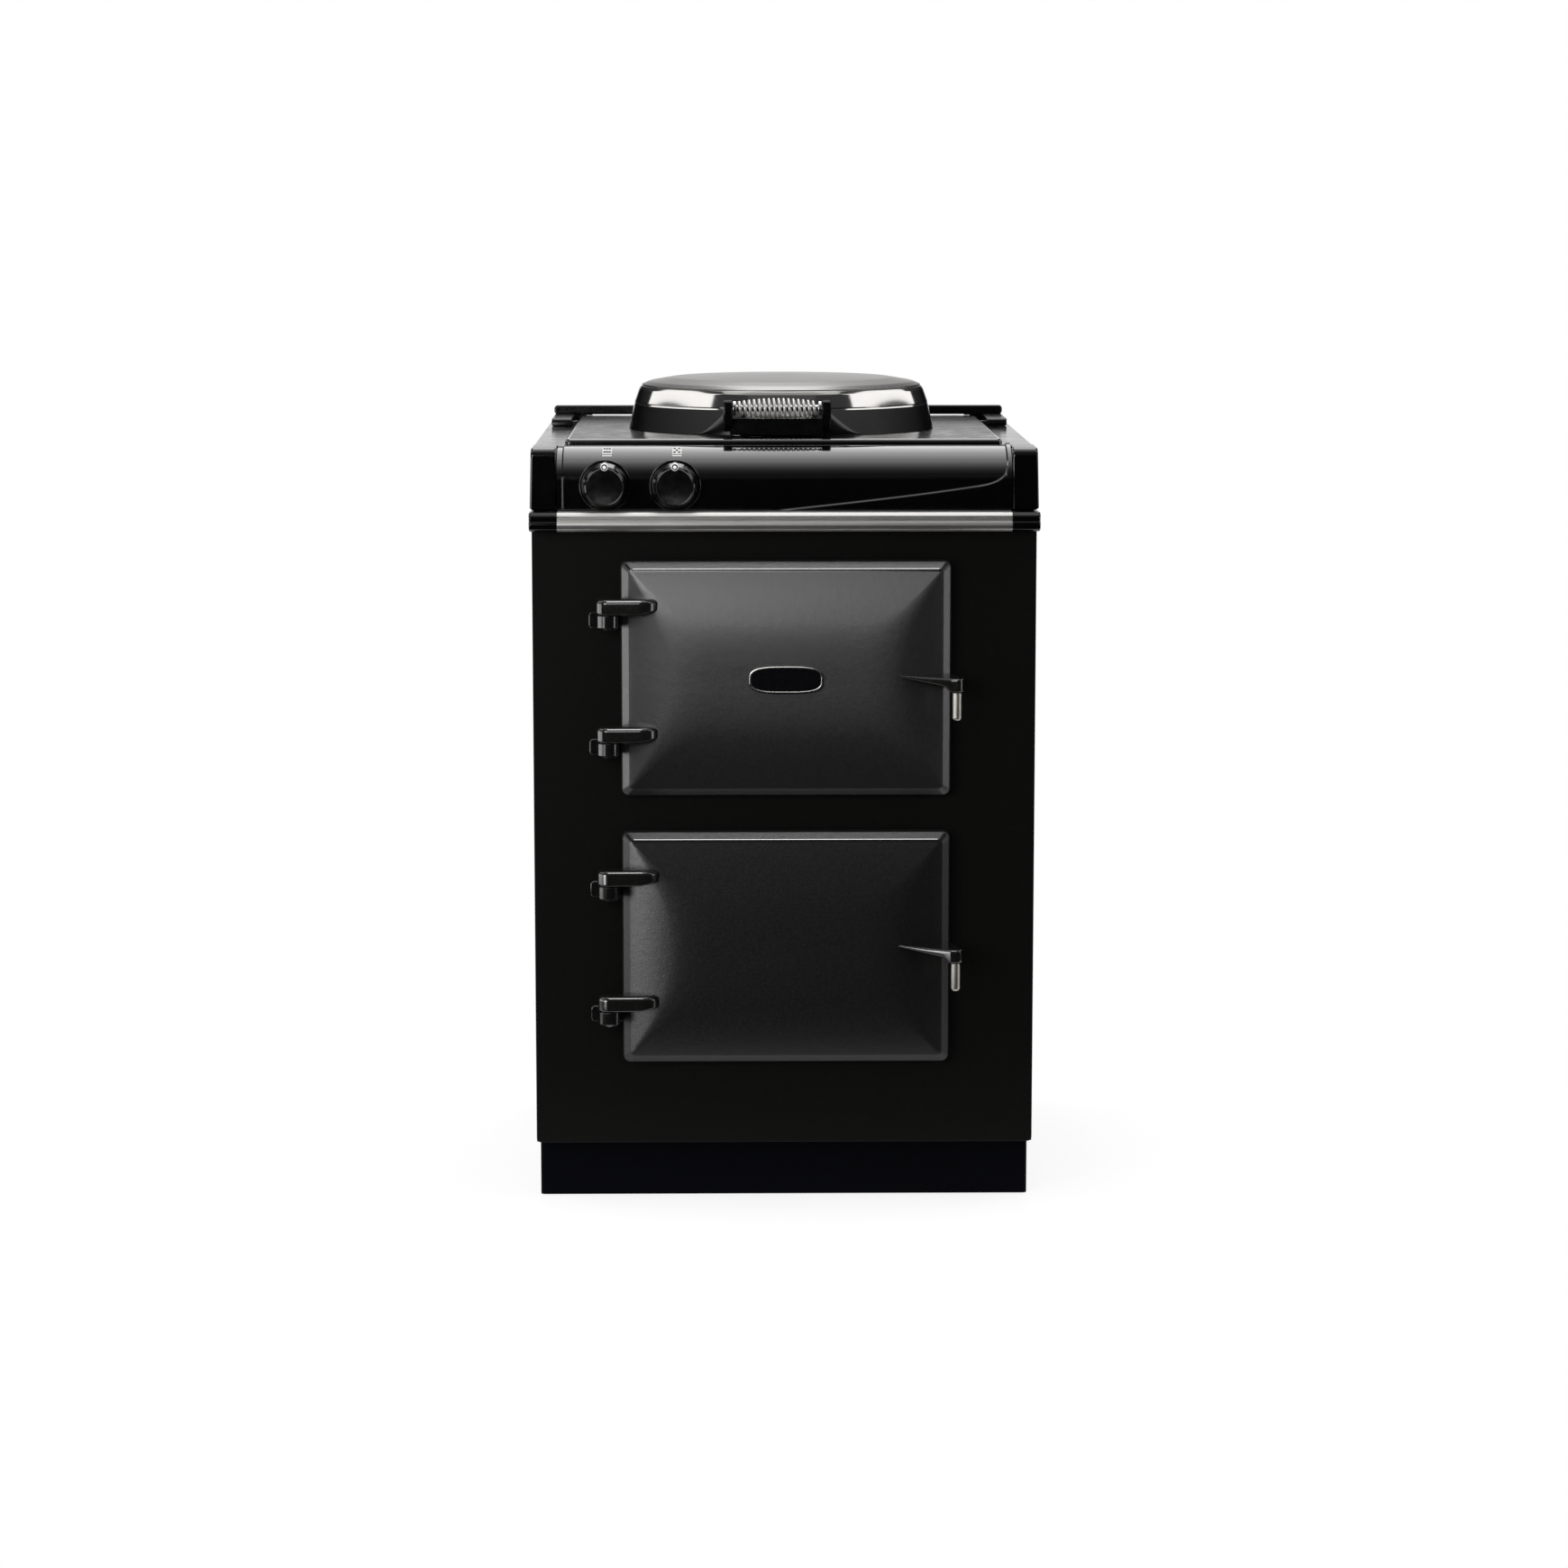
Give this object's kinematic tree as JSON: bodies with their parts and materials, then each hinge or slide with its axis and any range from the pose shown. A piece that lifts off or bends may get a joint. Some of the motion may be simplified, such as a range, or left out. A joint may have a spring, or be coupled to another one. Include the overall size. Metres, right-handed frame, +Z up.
{
  "type": "range cooker",
  "caption": "Black enamelled cast iron range cooker: side-hung oven doors, rotary controls, a steel front rail and a polished domed lid hinged over the hotplate.",
  "frame": {"origin": "on the floor, under the middle of the overall box", "axes": "+Z up, +X to the right of someone facing the doors, -Y out of the front towards them"},
  "size_m": [0.6014, 0.673, 0.9852],
  "materials": {
    "enamel": "gloss black vitreous enamel",
    "plinth_paint": "satin blue-black paint",
    "black_paint": "gloss black paint",
    "black_plastic": "gloss black moulding",
    "cast_iron": "machined grey iron",
    "polished": "polished sides, softly brushed top",
    "brushed": "brushed lengthwise",
    "nickel": "satin nickel plate",
    "zinc": "dull zinc plate",
    "oven_enamel": "dark speckled oven enamel",
    "wool": "pressed mineral wool",
    "rope": "braided glass rope",
    "badge_face": "black field in a bright rim"
  },
  "bodies": {
    "cooker": {"plinth": "plinth_paint", "foot_front_left": "zinc", "foot_front_right": "zinc", "foot_rear_left": "zinc", "foot_rear_right": "zinc", "base_tray": "zinc", "front_panel": "enamel", "side_panel_left": "enamel", "side_panel_right": "enamel", "back_panel": "zinc", "cable_gland": "black_plastic", "insulation": "wool", "fascia": "enamel", "cheek_left": "enamel", "cheek_right": "enamel", "front_rail": "brushed", "rail_cap_left": "black_plastic", "rail_cap_right": "black_plastic", "top_surround": "enamel", "centre_plate": "enamel", "hotplate_element": "zinc", "hotplate": "cast_iron", "hotplate_ring": "brushed", "guard_rail": "black_paint", "guard_foot_left": "black_paint", "guard_foot_right": "black_paint", "lid_hinge_base": "black_paint", "upper_oven": "oven_enamel", "lower_oven": "oven_enamel", "upper_shelf": "nickel", "lower_shelf": "nickel", "upper_element": "zinc", "lower_element": "zinc", "upper_seal": "rope", "lower_seal": "rope", "upper_hinge_top": "enamel", "upper_hinge_bottom": "enamel", "lower_hinge_top": "enamel", "lower_hinge_bottom": "enamel", "thermostat_left": "zinc", "thermostat_right": "zinc"},
    "upper_oven_door": {"upper_door": "enamel", "upper_door_liner": "oven_enamel", "upper_door_grip": "nickel", "badge_plate": "badge_face"},
    "lower_oven_door": {"lower_door": "enamel", "lower_door_liner": "oven_enamel", "lower_door_grip": "nickel"},
    "lid": {"lid_cover": "polished", "lid_liner": "brushed", "lid_hinge_arm": "black_paint", "lid_handle_bracket": "black_paint", "lid_handle_rod": "polished", "lid_handle_coil": "polished"},
    "left_control": {"knob_left": "black_plastic", "spindle_left": "zinc"},
    "right_control": {"knob_right": "black_plastic", "spindle_right": "zinc"}
  },
  "joints": [
    {"name": "upper_door_hinge", "type": "hinge", "parent": "cooker", "child": "upper_oven_door", "pos_m": [-0.209, -0.2995, 0.6386], "axis": [0, 0, -1], "range_deg": [0, 110]},
    {"name": "lower_door_hinge", "type": "hinge", "parent": "cooker", "child": "lower_oven_door", "pos_m": [-0.209, -0.2995, 0.3154], "axis": [0, 0, -1], "range_deg": [0, 110]},
    {"name": "lid_hinge", "type": "hinge", "parent": "cooker", "child": "lid", "pos_m": [0, 0.2415, 0.9377], "axis": [-1, 0, 0], "range_deg": [0, 95]},
    {"name": "left_control_turn", "type": "hinge", "parent": "cooker", "child": "left_control", "pos_m": [-0.2116, -0.2748, 0.867], "axis": [0, 1, 0], "range_deg": [0, 300]},
    {"name": "right_control_turn", "type": "hinge", "parent": "cooker", "child": "right_control", "pos_m": [-0.129, -0.2748, 0.867], "axis": [0, 1, 0], "range_deg": [0, 300]}
  ]
}
